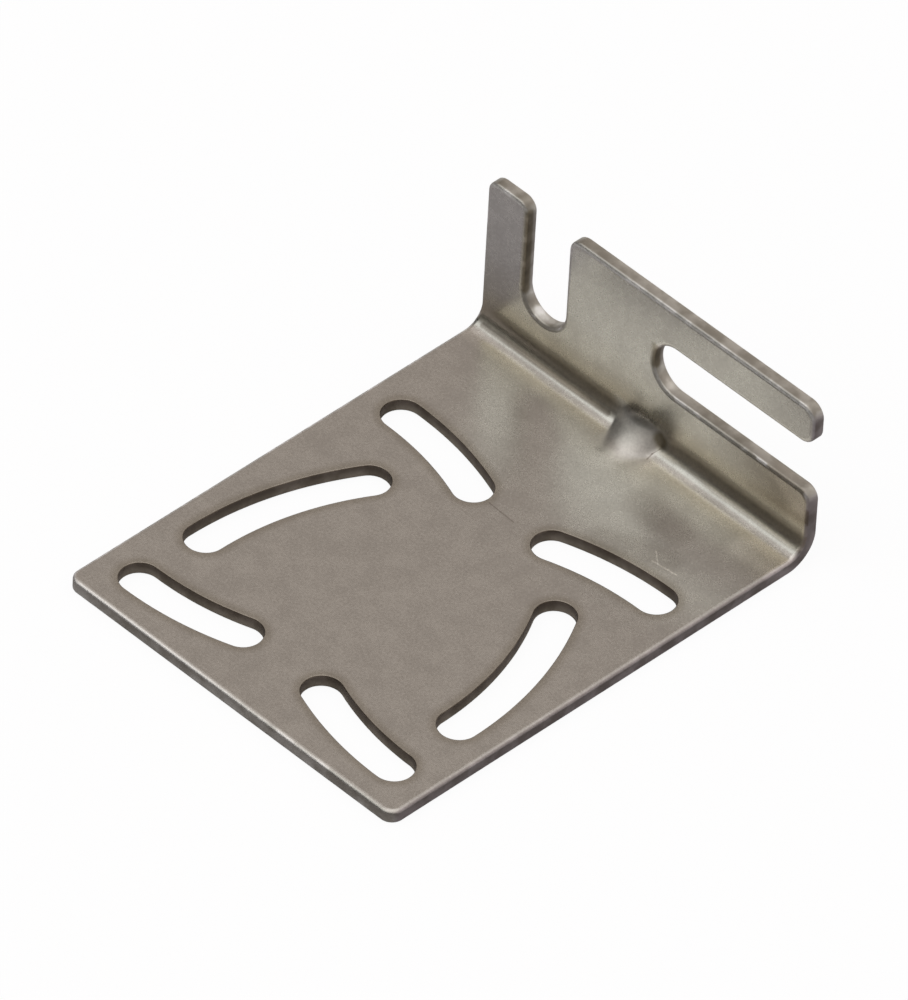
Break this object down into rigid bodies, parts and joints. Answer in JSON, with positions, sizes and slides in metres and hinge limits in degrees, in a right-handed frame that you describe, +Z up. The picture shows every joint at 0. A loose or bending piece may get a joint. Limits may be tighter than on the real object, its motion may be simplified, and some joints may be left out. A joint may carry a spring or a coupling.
{
  "type": "mounting bracket",
  "caption": "Right-angle mounting bracket folded from steel sheet, with curved adjustment slots in its base and open slots in its short flange.",
  "frame": {"origin": "middle of the bracket's footprint, on the underside of the base", "axes": "+X across the width, +Y from the base's free edge to the flange, +Z up along the flange"},
  "size_m": [0.0508, 0.0642, 0.0223],
  "materials": {
    "brushed_steel": "satin, lightly brushed and tumbled"
  },
  "bodies": {
    "root": {"bracket": "brushed_steel"}
  },
  "joints": []
}
